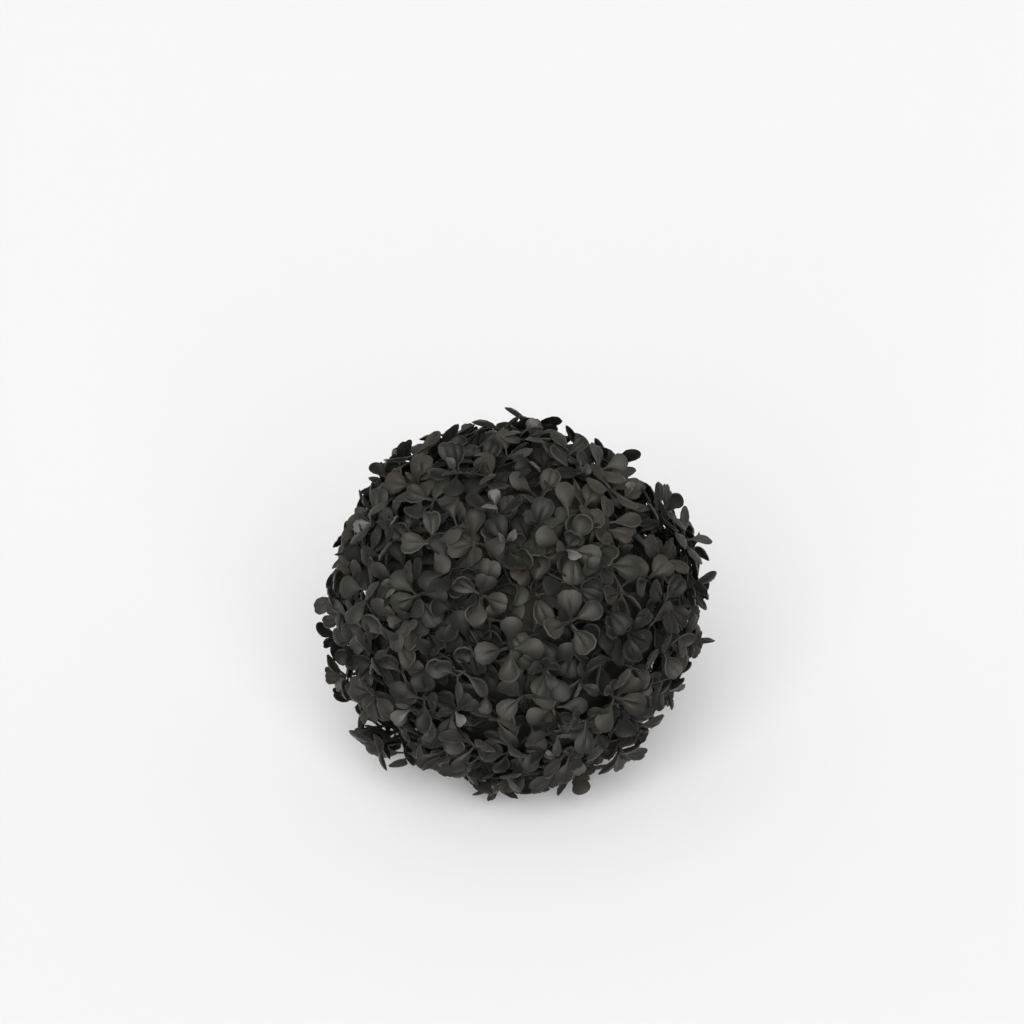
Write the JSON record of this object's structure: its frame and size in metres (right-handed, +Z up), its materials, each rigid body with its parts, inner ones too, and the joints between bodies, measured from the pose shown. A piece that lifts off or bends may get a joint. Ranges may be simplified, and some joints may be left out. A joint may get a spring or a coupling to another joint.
{
  "type": "artificial box topiary ball",
  "caption": "Artificial clipped box ball: leathery plastic leaves on sprigs that peg into a hollow inner ball. It lies loose on its own leaves as a garden or indoor decoration.",
  "frame": {"origin": "on the surface that the ball lies on, under the middle of its bounding box", "axes": "+Z up through the middle of the ball, square to the seam of the inner ball; -Y faces the viewer"},
  "size_m": [0.2044, 0.2068, 0.1977],
  "materials": {
    "leaves": null,
    "inner_ball": "matte near-black moulded plastic"
  },
  "bodies": {
    "root": {"inner_ball_upper": "inner_ball", "inner_ball_lower": "inner_ball", "sprig_crown_1": "leaves", "sprig_crown_2": "leaves", "sprig_crown_3": "leaves", "sprig_shoulder_1": "leaves", "sprig_shoulder_2": "leaves", "sprig_shoulder_3": "leaves", "sprig_shoulder_4": "leaves", "sprig_shoulder_5": "leaves", "sprig_shoulder_6": "leaves", "sprig_shoulder_7": "leaves", "sprig_shoulder_8": "leaves", "sprig_upper_waist_1": "leaves", "sprig_upper_waist_2": "leaves", "sprig_upper_waist_3": "leaves", "sprig_upper_waist_4": "leaves", "sprig_upper_waist_5": "leaves", "sprig_upper_waist_6": "leaves", "sprig_upper_waist_7": "leaves", "sprig_upper_waist_8": "leaves", "sprig_upper_waist_9": "leaves", "sprig_upper_waist_10": "leaves", "sprig_lower_waist_1": "leaves", "sprig_lower_waist_2": "leaves", "sprig_lower_waist_3": "leaves", "sprig_lower_waist_4": "leaves", "sprig_lower_waist_5": "leaves", "sprig_lower_waist_6": "leaves", "sprig_lower_waist_7": "leaves", "sprig_lower_waist_8": "leaves", "sprig_lower_waist_9": "leaves", "sprig_lower_waist_10": "leaves", "sprig_belly_1": "leaves", "sprig_belly_2": "leaves", "sprig_belly_3": "leaves", "sprig_belly_4": "leaves", "sprig_belly_5": "leaves", "sprig_belly_6": "leaves", "sprig_belly_7": "leaves", "sprig_belly_8": "leaves", "sprig_foot_1": "leaves", "sprig_foot_2": "leaves", "sprig_foot_3": "leaves"}
  },
  "joints": []
}
